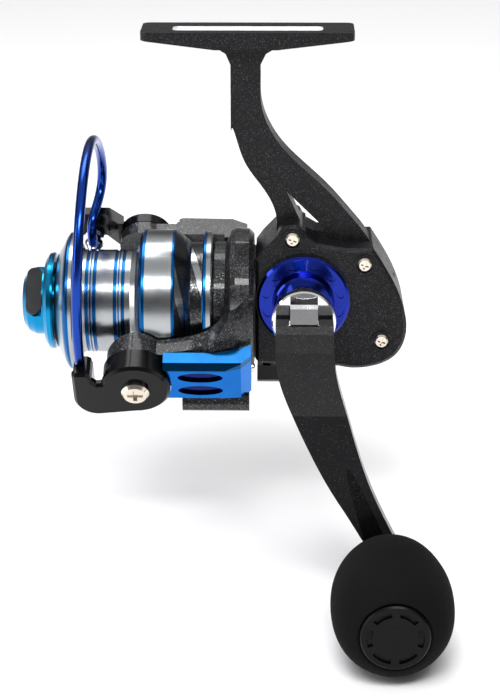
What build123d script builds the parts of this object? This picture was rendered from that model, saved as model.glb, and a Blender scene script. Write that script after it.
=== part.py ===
from build123d import *
from math import atan2, cos, degrees, pi, radians, sin, sqrt, tan
import os

os.makedirs("parts", exist_ok=True)

# Frame: origin at the centre of the foot's top face, which lies against the rod.
# +Z is up, +X points to the rear of the reel, and the handle is on the -Y side.

# ---- driving dimensions, mm ----
foot_length = 58.0
foot_width = 15.5
foot_edge = 2.2
stem_half = 4.2
shaft_z = -78.7
crank_x = 15.6
crank_z = -74.1
rotor_turn = 29.7
case_near = -9.8
case_far = 11.5
wall = 1.8
cover_face = -11.9
shaft_radius = 1.5
running_gap = 0.05
crank_radius = 2.5
drum_radius = 17.1
ring_radius = 21.3
pivot_x = -30.7
arm_half = 6.5
near_plate = 25.6
lever_seat = 26.0
lever_face = 33.2
cover_top = 30.9
far_inner = -24.6
far_outer = -27.6
skirt_radius = 20.6
lip_radius = 19.6
arbor_radius = 14.7
wire_diameter = 2.8
knob_x = 38.4
knob_z = -134.4
fold_y = -35.5
fold_z = -76.8
pinion_teeth = 8
gear_teeth = 42
pinion_pitch = 2.98
helix_angle = 42.0
cam_pinion_teeth = 12
cam_gear_teeth = 30
cam_module = 0.6

# ---- reference planes ----
# The side plane looks at the handle side: local x is X and local y is Z.
shaft_side = Plane(origin=(0, 0, shaft_z), x_dir=(1, 0, 0), z_dir=(0, -1, 0))
shaft_axis = Axis((0, 0, shaft_z), (1, 0, 0))
# Along the crank axis: local x points out of the handle side, local y is a radius.
crank_side = Plane(origin=(crank_x, 0, crank_z), x_dir=(0, -1, 0), z_dir=(1, 0, 0))
crank_axis = Axis((crank_x, 0, crank_z), (0, -1, 0))
# The rotor stands turned about the shaft. "near" points from the shaft to the near arm.
turn = radians(rotor_turn)
near = Vector(0, -cos(turn), -sin(turn))
across = Vector(0, -sin(turn), cos(turn))
rotor_profile = Plane(origin=(0, 0, shaft_z), x_dir=(1, 0, 0), z_dir=-across)


def near_plane(distance):
    """Plane square to the near arm: local x is X and local y runs across the arm."""
    return Plane(origin=Vector(0, 0, shaft_z) + near * distance, x_dir=(1, 0, 0), z_dir=near)


def cross_plane(x, z_height=shaft_z, y=0.0):
    """Plane square to the shaft, facing +X: local x is Y and local y is Z."""
    return Plane(origin=(x, y, z_height), x_dir=(0, 1, 0), z_dir=(1, 0, 0))


def flat_plane(y):
    """Plane square to the crank axis, facing -Y: local x is X and local y is Z."""
    return Plane(origin=(0, y, 0), x_dir=(1, 0, 0), z_dir=(0, -1, 0))


def rotor_point(x, a, b):
    """A point from its place along the shaft, towards the near arm and across it."""
    return Vector(x, 0, shaft_z) + near * a + across * b


pieces = {}


def keep(name, builder):
    builder.part.label = name
    pieces[name] = builder.part


def turned(name, points, plane=shaft_side, axis=shaft_axis):
    """A turned piece: a closed profile of (along, radius) points spun about its axis."""
    with BuildPart() as piece:
        with BuildSketch(plane):
            with BuildLine():
                Polyline(*points, close=True)
            make_face()
        revolve(axis=axis)
    keep(name, piece)
    return piece


def tube_points(start, end, inner, outer):
    return [(start, inner), (end, inner), (end, outer), (start, outer)]


def case_outline():
    """Outline of the gear case, seen from the handle side."""
    Polyline((26.0, -94.2), (3.2, -93.4), (2.2, -92.2), (2.2, -62.8), (4.2, -60.0), (8.4, -55.6))
    ThreePointArc((8.4, -55.6), (12.6, -52.6), (16.4, -56.2))
    Polyline((16.4, -56.2), (19.5, -58.0), (27.9, -59.4), (34.9, -59.2))
    Spline((34.9, -59.2), (40.3, -68.1), (43.9, -77.0), (44.7, -83.0), (42.0, -90.6), (36.0, -94.0),
           (26.0, -94.2))


def stem_outline():
    """Outline of the stem: a straight neck that leans back into the top of the case."""
    Spline((5.0, -61.5), (8.0, -55.5), (7.4, -50.0), (2.2, -41.3), (-2.0, -33.8), (-4.3, -27.0), (-4.7, -19.0),
           tangents=[(0.9, 0.9), (0, 1)])
    Polyline((-4.7, -19.0), (-4.7, -3.0), (3.5, -3.0), (3.5, -17.0))
    Spline((3.5, -17.0), (4.9, -24.5), (8.6, -31.2), (16.0, -38.9), (22.9, -45.4), (29.7, -53.2), (36.2, -62.4),
           tangents=[(0, -1), (0.6, -1)])
    Line((36.2, -62.4), (5.0, -61.5))


# ---- body: foot, stem and gear case in one casting ----
cover_screw_places = [(12.5, -56.6), (32.6, -63.8), (37.7, -86.3)]
rod_offset = 6.5
rod_radius = 0.9
seat_x = 38.6
cam_x = 27.8
cam_distance = cam_module * (cam_pinion_teeth + cam_gear_teeth) / 2
cam_z = crank_z - sqrt(cam_distance**2 - (cam_x - crank_x) ** 2)
cam_post = 1.5
lever_pivot_z = -88.4
flange_radius = 16.2
race_radius = 11.2
boss_radius = 12.4
bush_radius = 3.0
bush_start = 6.9
bush_end = 8.9
front_bearing_radius = 6.0
gear_radius = 13.6
bearing_radius = 5.5

with BuildPart() as body_housing:
    with BuildSketch(flat_plane(case_far)):
        with BuildLine():
            case_outline()
        make_face()
    extrude(amount=case_far - case_near)
    chamfer(body_housing.faces().sort_by(Axis.Y)[-1].edges(), length=1.6)
    with BuildSketch(flat_plane(case_far - wall)):
        with BuildLine():
            Polyline((4.0, -91.7), (4.0, -62.3), (9.5, -58.6), (15.5, -58.6), (20.0, -60.2), (28.0, -61.4),
                     (34.0, -61.2), (38.4, -68.8), (42.0, -77.5), (42.6, -83.0), (40.3, -89.6), (35.2, -92.2),
                     (26.0, -92.4), close=True)
        make_face()
    extrude(amount=case_far - wall - case_near, mode=Mode.SUBTRACT)
    # front flange, and the tube that holds the one-way clutch
    with BuildSketch(cross_plane(-0.4)):
        Circle(flange_radius)
    extrude(amount=2.6)
    with BuildSketch(cross_plane(-9.0)):
        Circle(boss_radius)
    extrude(amount=9.0)
    with BuildSketch(cross_plane(-9.0)):
        Circle(race_radius)
    extrude(amount=7.6, mode=Mode.SUBTRACT)
    with BuildSketch(cross_plane(-2.0)):
        Circle(front_bearing_radius)
    extrude(amount=3.2, mode=Mode.SUBTRACT)
    with BuildSketch(cross_plane(-2.0)):
        Circle(4.2)
    extrude(amount=6.4, mode=Mode.SUBTRACT)
    # stem
    with BuildSketch(flat_plane(stem_half)):
        with BuildLine():
            stem_outline()
        make_face()
    extrude(amount=2 * stem_half)
    with BuildSketch(flat_plane(case_far)):
        with BuildLine():
            Polyline((10.8, -45.0), (21.6, -55.6), (19.4, -56.4), (15.4, -55.0), close=True)
        make_face()
    extrude(amount=2 * case_far, mode=Mode.SUBTRACT)
    # room for the drive gear beside the flange
    with BuildSketch(flat_plane(-1.8)):
        with Locations((crank_x, crank_z)):
            Circle(gear_radius + 0.4)
    extrude(amount=8.0, mode=Mode.SUBTRACT)
    # foot, with a shallow recess in its top and a neck as wide as the stem
    with BuildSketch(flat_plane(foot_width / 2)):
        with BuildLine():
            Polyline((-foot_length / 2, 0), (foot_length / 2, 0), (foot_length / 2, -foot_edge), (8.0, -4.7),
                     (-9.0, -4.7), (-foot_length / 2, -foot_edge), close=True)
        make_face()
    extrude(amount=foot_width)
    with BuildSketch(flat_plane(stem_half)):
        with BuildLine():
            Polyline((-9.0, -4.6), (8.0, -4.6), (5.0, -6.4), (3.5, -9.4), (-4.7, -9.4), (-6.0, -6.4), close=True)
        make_face()
    extrude(amount=2 * stem_half)
    fillet(body_housing.edges().filter_by(Axis.Z).filter_by(lambda e: abs(e.center().X) > 28.9), radius=2.0)
    with BuildSketch(Plane.XY):
        RectangleRounded(41.0, 8.0, 1.5)
    extrude(amount=-1.4, mode=Mode.SUBTRACT)
    # crank bearing seat, gear post, screw bosses and the pinion's rear bracket
    with BuildSketch(flat_plane(13.6)):
        with Locations((crank_x, crank_z)):
            Circle(7.4)
    extrude(amount=5.4)
    with BuildSketch(flat_plane(13.6)):
        with Locations((crank_x, crank_z)):
            Circle(bearing_radius)
    extrude(amount=4.0, mode=Mode.SUBTRACT)
    with BuildSketch(flat_plane(13.6)):
        with Locations((crank_x, crank_z)):
            Circle(3.4)
    extrude(amount=6.0, mode=Mode.SUBTRACT)
    with BuildSketch(flat_plane(case_far - wall)):
        with Locations((cam_x, cam_z)):
            Circle(cam_post)
    extrude(amount=6.1)
    with BuildSketch(flat_plane(-3.2)):
        with Locations(*cover_screw_places):
            Circle(2.8)
        with Locations(cover_screw_places[2]):
            Circle(4.2)
    extrude(amount=-3.2 - case_near)
    with BuildSketch(flat_plane(-3.2)):
        with Locations(*cover_screw_places):
            Circle(0.8)
    extrude(amount=-3.2 - case_near, mode=Mode.SUBTRACT)
    with BuildSketch(cross_plane(bush_start)):
        with Locations((4.0, 0)):
            Rectangle(11.6, 9.6)
        Circle(bush_radius + 0.6)
    extrude(amount=bush_end - bush_start)
    with BuildSketch(cross_plane(bush_start)):
        Circle(bush_radius)
    extrude(amount=bush_end - bush_start, mode=Mode.SUBTRACT)
    # seats for the slider's guide rods in the rear wall
    for height, length in ((rod_offset, 3.0), (-rod_offset, 4.4)):
        with BuildSketch(cross_plane(seat_x, shaft_z + height)):
            Circle(2.2)
        extrude(amount=length)
        with BuildSketch(cross_plane(seat_x, shaft_z + height)):
            Circle(rod_radius)
        extrude(amount=2.0, mode=Mode.SUBTRACT)
    # slot in the floor for the anti-reverse lever
    with BuildSketch(Plane.XY.offset(-96.0)):
        with Locations((5.5, 0)):
            Rectangle(3.8, 15.0)
    extrude(amount=6.0, mode=Mode.SUBTRACT)
keep("body_housing", body_housing)

# ---- side cover ----
ring_seat = -12.7
with BuildPart() as side_cover:
    with BuildSketch(flat_plane(case_near)):
        with BuildLine():
            case_outline()
        make_face()
    extrude(amount=case_near - cover_face)
    chamfer(side_cover.faces().sort_by(Axis.Y)[0].edges(), length=0.9)
    with BuildSketch(flat_plane(cover_face + 0.9)):
        with Locations((crank_x, crank_z)):
            Circle(13.3)
    extrude(amount=0.9 + cover_face - ring_seat)
    with BuildSketch(flat_plane(case_near)):
        with Locations((crank_x, crank_z)):
            Circle(7.2)
    extrude(amount=-0.8)
    with BuildSketch(flat_plane(0)):
        with Locations((crank_x, crank_z)):
            Circle(bearing_radius)
    extrude(amount=20, mode=Mode.SUBTRACT)
    with BuildSketch(flat_plane(cover_face + 0.3)):
        with Locations(*cover_screw_places):
            Circle(2.9)
    extrude(amount=0.8)
    with BuildSketch(flat_plane(cover_face + 0.2)):
        with Locations(*cover_screw_places):
            Circle(2.3)
    extrude(amount=2.0, mode=Mode.SUBTRACT)
    with BuildSketch(flat_plane(case_near)):
        with Locations(*cover_screw_places):
            Circle(0.8)
    extrude(amount=3.0, mode=Mode.SUBTRACT)
keep("side_cover", side_cover)


def screws(name, seats, head, rise, shank, lengths):
    """Cross-head screws: one for each seat plane, whose normal points out of the head."""
    with BuildPart() as piece:
        for seat, length in zip(seats, lengths):
            with BuildSketch(seat):
                Circle(head)
            extrude(amount=rise / 2)
            with BuildSketch(seat.offset(rise / 2)):
                Circle(head)
            extrude(amount=rise / 2, taper=40)
            with BuildSketch(seat):
                Circle(shank)
            extrude(amount=-length)
            with BuildSketch(seat.offset(rise * 0.4)):
                Rectangle(head * 1.1, head * 0.28)
                Rectangle(head * 0.28, head * 1.1)
            extrude(amount=rise, mode=Mode.SUBTRACT)
    keep(name, piece)


def seat_plane(x, y, z, direction):
    across = Vector(0.3, 0, 0.95) if direction[1] else Vector(0, 1, 0)
    return Plane(origin=(x, y, z), x_dir=across, z_dir=direction)


screws("side_cover_screws",
       [seat_plane(x, cover_face + 0.2, z, (0, -1, 0)) for x, z in cover_screw_places],
       head=2.05, rise=1.2, shank=0.75, lengths=[6.5] * len(cover_screw_places))

# ---- bearings and caps on the crank axis ----
turned("crank_bearing_right", tube_points(9.0, 12.7, crank_radius, bearing_radius), crank_side, crank_axis)
turned("crank_bearing_left", tube_points(-13.5, -9.7, crank_radius, bearing_radius), crank_side, crank_axis)
turned("port_cap", [(-13.6, 0), (-13.6, 7.2), (-14.6, 7.2), (-15.2, 6.4), (-15.2, 0)],
       crank_side, crank_axis)
with BuildPart() as bearing_cap_ring:
    with BuildSketch(crank_side):
        with BuildLine():
            Polyline((12.7, 5.3), (12.7, 13.0), (13.3, 13.0), (13.9, 12.3), (13.9, 8.7), (16.6, 8.1), (17.0, 7.6),
                     (17.0, 5.3), close=True)
        make_face()
    revolve(axis=crank_axis)
    with BuildSketch(Plane(origin=(crank_x, -13.5, crank_z), x_dir=(1, 0, 0), z_dir=(0, -1, 0))):
        with PolarLocations(10.5, 12, start_angle=15):
            Ellipse(1.1, 1.8)
    extrude(amount=1.0, mode=Mode.SUBTRACT)
keep("bearing_cap_ring", bearing_cap_ring)

# ---- clutch and bearings on the shaft axis, held by the body ----
sleeve_radius = 5.6
roller_radius = 1.25
roller_circle = 6.95
turned("clutch_outer_race", tube_points(-8.4, -1.6, 8.3, race_radius))
retainer_places = [(11.8 * cos(radians(a)), 11.8 * sin(radians(a))) for a in (90, 210, 330)]
with BuildPart() as clutch_retainer:
    with BuildSketch(cross_plane(-9.6)):
        Circle(boss_radius)
        Circle(7.2, mode=Mode.SUBTRACT)
        with Locations(*retainer_places):
            Circle(0.35, mode=Mode.SUBTRACT)
    extrude(amount=0.6)
keep("clutch_retainer", clutch_retainer)
turned("pinion_front_bearing", tube_points(-1.9, 1.1, 3.05, front_bearing_radius))
turned("pinion_rear_bush", tube_points(bush_start, bush_end, 2.25, bush_radius))
with BuildPart() as clutch_rollers:
    with BuildSketch(cross_plane(-8.0)):
        with PolarLocations(roller_circle, 6):
            Circle(roller_radius)
    extrude(amount=6.0)
keep("clutch_rollers", clutch_rollers)
screws("retainer_screws",
       [Plane(origin=(-9.6, y, shaft_z + z), x_dir=(0, 1, 0), z_dir=(-1, 0, 0)) for y, z in retainer_places],
       head=0.55, rise=0.4, shank=0.3, lengths=[0.6] * len(retainer_places))

# ---- slider guide rods, held by the body ----
with BuildPart() as slider_guide_rods:
    with BuildSketch(cross_plane(18.6)):
        with Locations((0, -rod_offset)):
            Circle(rod_radius)
    extrude(amount=seat_x + 2.0 - 18.6)
    with BuildSketch(cross_plane(19.4)):
        with Locations((0, rod_offset)):
            Circle(rod_radius)
    extrude(amount=seat_x + 2.0 - 19.4)
keep("slider_guide_rods", slider_guide_rods)

# ---- crank: shaft, gears, collar and hinge block ----
gear_back = -8.6
gear_face = -4.4
tooth_top = -2.75
axis_offset = crank_z - shaft_z
mesh_reach = gear_teeth / pinion_teeth * pinion_pitch - axis_offset * tan(radians(helix_angle))
mesh_radius = sqrt(mesh_reach**2 + axis_offset**2)
mesh_angle = 180 + degrees(atan2(axis_offset, mesh_reach))
bar_tilt = 180 + helix_angle - mesh_angle
bar_width = 0.42
bar_length = 2.5
turned("drive_shaft", [(-13.2, 0), (31.2, 0), (31.2, crank_radius), (-13.2, crank_radius)],
       crank_side, crank_axis)
with BuildPart() as drive_gear:
    with BuildSketch(crank_side):
        with BuildLine():
            Polyline((-gear_back, crank_radius), (-gear_back, 5.0), (7.4, 6.2), (7.4, 9.4), (-gear_back, 10.4),
                     (-gear_back, gear_radius), (-gear_face, gear_radius), (-gear_face, 10.6), (5.4, 9.6),
                     (5.4, 5.4), (-gear_face, 4.6), (3.0, 4.4), (3.0, crank_radius), close=True)
        make_face()
    revolve(axis=crank_axis)
    with BuildSketch(Plane(origin=(crank_x, gear_face, crank_z), x_dir=(1, 0, 0), z_dir=(0, -1, 0))):
        with PolarLocations(mesh_radius, gear_teeth, start_angle=mesh_angle):
            Rectangle(bar_length, bar_width, rotation=bar_tilt)
    extrude(amount=gear_face - tooth_top)
keep("drive_gear", drive_gear)
turned("crank_shim", tube_points(8.65, 8.95, crank_radius, 4.0), crank_side, crank_axis)


def spur_gear(centre_x, centre_z, teeth, bore, phase, start, end):
    """Spur gear square to the crank axis; phase is the angle of one tooth, in degrees."""
    pitch = cam_module * teeth / 2
    root = pitch - 1.2 * cam_module
    tip = pitch + 0.85 * cam_module
    flank = cam_module * pi * 0.2
    outline = []
    for tooth in range(teeth):
        middle = radians(phase + 360 * tooth / teeth)
        for radius, side_step in ((root, -1.5), (tip, -0.5), (tip, 0.5), (root, 1.5)):
            angle = middle + side_step * flank / pitch
            outline.append((radius * cos(angle), radius * sin(angle)))
    with BuildPart() as piece:
        with BuildSketch(Plane(origin=(centre_x, start, centre_z), x_dir=(1, 0, 0), z_dir=(0, -1, 0))):
            with BuildLine():
                Polyline(*outline, close=True)
            make_face()
            Circle(bore, mode=Mode.SUBTRACT)
        extrude(amount=start - end)
    return piece


cam_angle = degrees(atan2(cam_z - crank_z, cam_x - crank_x))
keep("oscillation_pinion",
     spur_gear(crank_x, crank_z, cam_pinion_teeth, crank_radius, cam_angle, 5.4, 3.4))
turned("handle_collar", [(13.5, crank_radius), (13.5, 4.7), (24.5, 5.1), (27.4, 8.0), (28.2, 8.7), (30.8, 8.7),
                         (31.2, 8.3), (31.2, crank_radius)], crank_side, crank_axis)
block_half = 3.7
pin_radius = 1.5
with BuildPart() as hinge_block:
    with BuildSketch(Plane(origin=(crank_x - block_half, 0, 0), x_dir=(0, 1, 0), z_dir=(1, 0, 0))):
        with BuildLine():
            Polyline((-31.2, -66.6), (-36.6, -67.2), (-37.4, -68.2), (-39.0, -76.6), (-38.2, -79.3), (-35.5, -80.4),
                     (-32.4, -79.4), (-31.2, -78.6), close=True)
        make_face()
        with Locations((fold_y, fold_z)):
            Circle(pin_radius, mode=Mode.SUBTRACT)
    extrude(amount=2 * block_half)
    chamfer(hinge_block.faces().sort_by(Axis.Y)[0].edges().filter_by(Axis.X), length=0.4)
keep("hinge_block", hinge_block)

# ---- oscillation gear, on its post in the body ----
throw = 6.0
with BuildPart() as oscillation_gear:
    add(spur_gear(cam_x, cam_z, cam_gear_teeth, cam_post + running_gap,
                  cam_angle + 180 + 180 / cam_gear_teeth, 5.4, 3.4).part)
    with BuildSketch(flat_plane(3.6)):
        with Locations((cam_x + throw * 0.5, cam_z + throw * sqrt(0.75))):
            Circle(1.1)
    extrude(amount=0.9)
keep("oscillation_gear", oscillation_gear)

# ---- anti-reverse lever ----
with BuildPart() as anti_reverse_lever:
    with BuildSketch(cross_plane(4.2, lever_pivot_z)):
        Circle(1.7)
        with BuildLine():
            Polyline((-1.4, 0), (-4.8, -8.0), (-1.9, -9.0), (1.4, 0), close=True)
        make_face()
    extrude(amount=2.2)
    with BuildSketch(cross_plane(2.6, lever_pivot_z)):
        with BuildLine():
            Polyline((-6.9, -7.4), (-7.4, -11.6), (-5.4, -12.9), (-0.9, -11.6), (-0.3, -9.6), (-1.2, -8.0), close=True)
        make_face()
    extrude(amount=7.2)
keep("anti_reverse_lever", anti_reverse_lever)

# ---- pinion, clutch sleeve and rotor ----
pinion_front = -17.0
teeth_start = 2.4
teeth_end = 6.6
pinion_root = 2.2
pinion_tip = 3.55
mesh_x = crank_x - mesh_reach
twist_per_mm = -degrees(tan(radians(helix_angle))) / pinion_pitch
gap_angle = 180 + twist_per_mm * (teeth_start - mesh_x)
outline = []
for tooth in range(pinion_teeth):
    middle = gap_angle + (tooth + 0.5) * 360 / pinion_teeth
    for radius, half_angle in ((pinion_root, 10.5), (pinion_tip, 4.0)):
        outline.append((radius, middle - half_angle))
    for radius, half_angle in ((pinion_tip, 4.0), (pinion_root, 10.5)):
        outline.append((radius, middle + half_angle))
with BuildSketch(cross_plane(teeth_start)) as tooth_section:
    with BuildLine():
        Polyline(*[(r * cos(radians(a)), r * sin(radians(a))) for r, a in outline], close=True)
    make_face()
helical_teeth = Solid.extrude_linear_with_rotation(
    tooth_section.sketch.faces()[0], center=(teeth_start, 0, shaft_z), normal=(teeth_end - teeth_start, 0, 0),
    angle=twist_per_mm * (teeth_end - teeth_start))
bore = shaft_radius + running_gap
with BuildPart() as pinion_gear:
    add(helical_teeth)
    with BuildSketch(shaft_side):
        with BuildLine():
            Polyline((pinion_front, 0), (pinion_front, 2.6), (-14.2, 2.6), (-14.2, 3.0), (1.6, 3.0), (2.4, 2.2),
                     (bush_end + 0.2, 2.2), (bush_end + 0.2, 0), close=True)
        make_face()
    revolve(axis=shaft_axis)
    with BuildSketch(cross_plane(pinion_front)):
        Circle(bore)
    extrude(amount=bush_end + 0.2 - pinion_front, mode=Mode.SUBTRACT)
keep("pinion_gear", pinion_gear)
turned("clutch_inner_sleeve", tube_points(-8.4, -2.2, 3.0, sleeve_radius))
with BuildPart() as rotor_nut:
    with BuildSketch(cross_plane(-16.4)):
        RegularPolygon(5.6, 6)
        Circle(2.6, mode=Mode.SUBTRACT)
    extrude(amount=2.2)
keep("rotor_nut", rotor_nut)

arm_inner = 21.2
eye_radius = 8.6
# The near arm widens towards the ring on both sides, on a round surface about the shaft.
with BuildPart() as arm_flare:
    with BuildSketch(near_plane(14.0)):
        with BuildLine():
            Spline((-24.0, 6.4), (-16.0, 7.6), (-10.0, 10.0), (-6.4, 13.4), (-4.6, 17.0))
            Polyline((-4.6, 17.0), (0.4, 17.0), (0.4, -17.0), (-4.6, -17.0))
            Spline((-4.6, -17.0), (-6.4, -13.4), (-10.0, -10.0), (-16.0, -7.6), (-24.0, -6.4))
            Line((-24.0, -6.4), (-24.0, 6.4))
        make_face()
    extrude(amount=12.0)
    with BuildSketch(shaft_side):
        with BuildLine():
            Polyline((-24.0, 17.5), (-24.0, 25.6), (-9.0, 26.2), (-3.4, 24.8), (0.4, 21.6), (0.4, 17.5), close=True)
        make_face()
    revolve(axis=shaft_axis, mode=Mode.INTERSECT)
with BuildPart() as rotor:
    add(arm_flare.part)
    # lip under the arm cover
    with BuildSketch(cross_plane(-18.2)):
        with BuildLine():
            lip = [rotor_point(0, a, b) for a, b in ((22.6, -6.0), (25.4, -6.0), (25.4, -7.6), (28.8, -7.6),
                                                     (30.4, -9.4), (30.6, -11.6), (29.6, -13.2), (24.0, -11.0))]
            Polyline(*[(corner.Y, corner.Z - shaft_z) for corner in lip], close=True)
        make_face()
    extrude(amount=18.8)
    with BuildSketch(shaft_side):
        with BuildLine():
            Polyline((1.7, 17.8), (1.7, 19.6), (0.4, 20.9), (-3.4, ring_radius), (-4.8, 20.7), (-5.2, 19.2),
                     (-6.4, drum_radius), (-9.4, drum_radius), (-9.6, 16.9), (-9.6, 14.9), (-14.2, 14.9),
                     (-14.2, 3.0), (-12.4, 3.0), (-12.4, 13.3), (-8.6, 13.3), (-7.6, 15.6), (-4.6, 15.6),
                     (-3.4, 17.8), close=True)
        make_face()
    revolve(axis=shaft_axis)
    # the two arms, mirror images except for the height of their outer faces
    with BuildSketch(rotor_profile.offset(arm_half)):
        with BuildLine():
            Polyline((1.0, 19.0), (0.8, 22.0), (-3.5, 24.2), (-21.0, near_plate), (pivot_x, near_plate),
                     (pivot_x, 19.0), close=True)
        make_face()
        with BuildLine():
            Polyline((1.0, -19.0), (0.6, -21.6), (-3.5, -24.0), (-21.0, -25.2), (-21.4, -24.3), (pivot_x, -24.3),
                     (pivot_x, -19.0), close=True)
        make_face()
    extrude(amount=-2 * arm_half)
    with BuildSketch(near_plane(19.0)):
        with Locations((pivot_x, 0)):
            Circle(eye_radius)
    extrude(amount=near_plate - 19.0)
    with BuildSketch(near_plane(-24.3)):
        with Locations((pivot_x, 0)):
            Circle(7.4)
    extrude(amount=5.3)
    # the arms' inner faces follow the spool
    with BuildSketch(cross_plane(-42.0)):
        Circle(arm_inner)
        Circle(drum_radius + 0.4, mode=Mode.SUBTRACT)
    extrude(amount=34.8, mode=Mode.SUBTRACT)
    # seat of the arm cover
    with BuildSketch(rotor_profile.offset(7.55)):
        with BuildLine():
            Polyline((-24.0, near_plate + 0.05), (-9.0, near_plate + 0.05), (-3.5, 24.55), (1.4, 22.55),
                     (1.4, 32.0), (-24.0, 32.0), close=True)
        make_face()
    extrude(amount=-15.1, mode=Mode.SUBTRACT)
    # pivot bores, the spring's pocket in the near arm and the trip lever's in the far one
    for distance, depth in ((near_plate, 4.4), (-24.3, -3.1)):
        with BuildSketch(near_plane(distance)):
            with Locations((pivot_x, 0)):
                Circle(2.0)
        extrude(amount=-depth, mode=Mode.SUBTRACT)
    with BuildSketch(near_plane(near_plate)):
        with Locations((-15.0, 0)):
            Rectangle(13.0, 5.0)
    extrude(amount=-3.5, mode=Mode.SUBTRACT)
    with BuildSketch(near_plane(-25.3)):
        with Locations((-13.0, 0)):
            Rectangle(13.6, 6.0)
    extrude(amount=2.6, mode=Mode.SUBTRACT)

keep("rotor", rotor)

# ---- arm covers, spring and screws on the rotor ----
with BuildPart() as arm_cover:
    with BuildSketch(rotor_profile.offset(7.5)):
        with BuildLine():
            Polyline((-23.0, near_plate + 0.1), (-23.0, cover_top), (-6.0, cover_top), (-1.6, 29.6),
                     (1.2, 26.8), (1.2, 22.6), (-3.5, 24.6), (-9.0, near_plate + 0.1), close=True)
        make_face()
    extrude(amount=-15.0)
    with BuildSketch(near_plane(20.0)):
        with Locations((pivot_x, 0)):
            Circle(9.9)
    extrude(amount=14.0, mode=Mode.SUBTRACT)
    # a bevel along each long edge of the outer face
    for sense in (1, -1):
        with BuildSketch(cross_plane(-24.0)):
            with BuildLine():
                bevel = [rotor_point(0, a, sense * b) for a, b in ((31.4, 5.4), (31.4, 8.2), (28.6, 8.2))]
                Polyline(*[(corner.Y, corner.Z - shaft_z) for corner in bevel], close=True)
            make_face()
        extrude(amount=26.0, mode=Mode.SUBTRACT)
    with BuildSketch(near_plane(cover_top)):
        with Locations((-12.8, 2.9), (-12.8, -2.6)):
            Ellipse(6.2, 2.0)
    extrude(amount=-0.9, mode=Mode.SUBTRACT)
keep("arm_cover", arm_cover)
with BuildPart() as far_arm_cover:
    with BuildSketch(rotor_profile.offset(6.3)):
        with BuildLine():
            Polyline((-20.6, -25.3), (-20.6, -26.4), (-19.6, -26.9), (-5.0, -26.6), (-0.6, -24.6), (-0.6, -22.5),
                     (-3.4, -24.1), close=True)
        make_face()
    extrude(amount=-12.6)
keep("far_arm_cover", far_arm_cover)
with BuildPart() as bail_spring:
    with BuildLine():
        coil = Helix(pitch=1.15, height=8.0, radius=1.25, center=rotor_point(-20.0, 23.8, 0), direction=(1, 0, 0))
    with BuildSketch(Plane(origin=coil @ 0, z_dir=coil % 0)):
        Circle(0.28)
    sweep()
keep("bail_spring", bail_spring)
turned("bail_spring_guide", [(-21.2, 0), (-8.8, 0), (-8.8, 0.7), (-21.2, 0.7)],
       Plane(origin=rotor_point(0, 23.8, 0), x_dir=(1, 0, 0), z_dir=(0, -1, 0)),
       Axis(rotor_point(0, 23.8, 0), (1, 0, 0)))
with BuildPart() as trip_lever:
    with BuildSketch(near_plane(-24.0)):
        with Locations((-13.0, 0)):
            SlotOverall(12.0, 2.6)
    extrude(amount=1.0)
keep("trip_lever", trip_lever)
lever_top = lever_face + 0.1
screws("pivot_screws",
       [Plane(origin=rotor_point(pivot_x, lever_top, 0), x_dir=(1, 0, 0), z_dir=near),
        Plane(origin=rotor_point(pivot_x, far_outer - 0.1, 0), x_dir=(1, 0, 0), z_dir=-near)],
       head=3.9, rise=1.8, shank=1.95, lengths=[8.2, 6.0])
screws("arm_cover_screw", [Plane(origin=rotor_point(1.3, 24.6, 0), x_dir=(0, 1, 0), z_dir=(1, 0, 0))],
       head=1.3, rise=0.9, shank=0.6, lengths=[0.1])

# ---- bail: near arm, far holder, wire, roller and its screw ----
roller_x = -46.2
roller_b = -2.2
roller_side = Plane(origin=rotor_point(roller_x, 0, roller_b), x_dir=near, z_dir=across)
roller_axis = Axis(rotor_point(roller_x, 0, roller_b), near)
with BuildPart() as bail_arm:
    # hub inside the arc of the arm cover, and the block that holds the wire's end
    with BuildSketch(near_plane(lever_seat)):
        with Locations((pivot_x, 0)):
            Circle(9.3)
        with BuildLine():
            Polyline((-42.6, -9.6), (-45.0, -8.6), (-46.9, -6.0), (-47.6, -3.8), (-47.6, 5.8), (-47.2, 6.2),
                     (-44.0, 6.2), (-43.0, 5.6), (-42.6, 3.4), close=True)
        make_face()
    extrude(amount=lever_face - lever_seat)
    # plate of the lever, which swings over the cover
    with BuildSketch(near_plane(cover_top + 0.3)):
        with Locations((pivot_x, 0)):
            Circle(9.6)
        with BuildLine():
            Line((pivot_x, -9.6), (-41.0, -11.0))
            ThreePointArc((-41.0, -11.0), (-46.2, -9.0), (-48.0, -4.4))
            Polyline((-48.0, -4.4), (-48.0, 5.8), (-47.2, 6.6), (-44.0, 6.6), (-43.0, 5.8), (-42.6, 3.4),
                     (-41.4, 2.2), (-38.8, 2.6), (pivot_x, 9.6))
            Line((pivot_x, 9.6), (pivot_x, -9.6))
        make_face()
    extrude(amount=lever_face - cover_top - 0.3)
    chamfer(bail_arm.faces().sort_by(Axis((0, 0, shaft_z), near))[-1].edges(), length=0.8)
    with BuildSketch(near_plane(lever_seat)):
        with Locations((pivot_x, 0)):
            Circle(2.0)
    extrude(amount=lever_face - lever_seat, mode=Mode.SUBTRACT)
keep("bail_arm", bail_arm)
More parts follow.
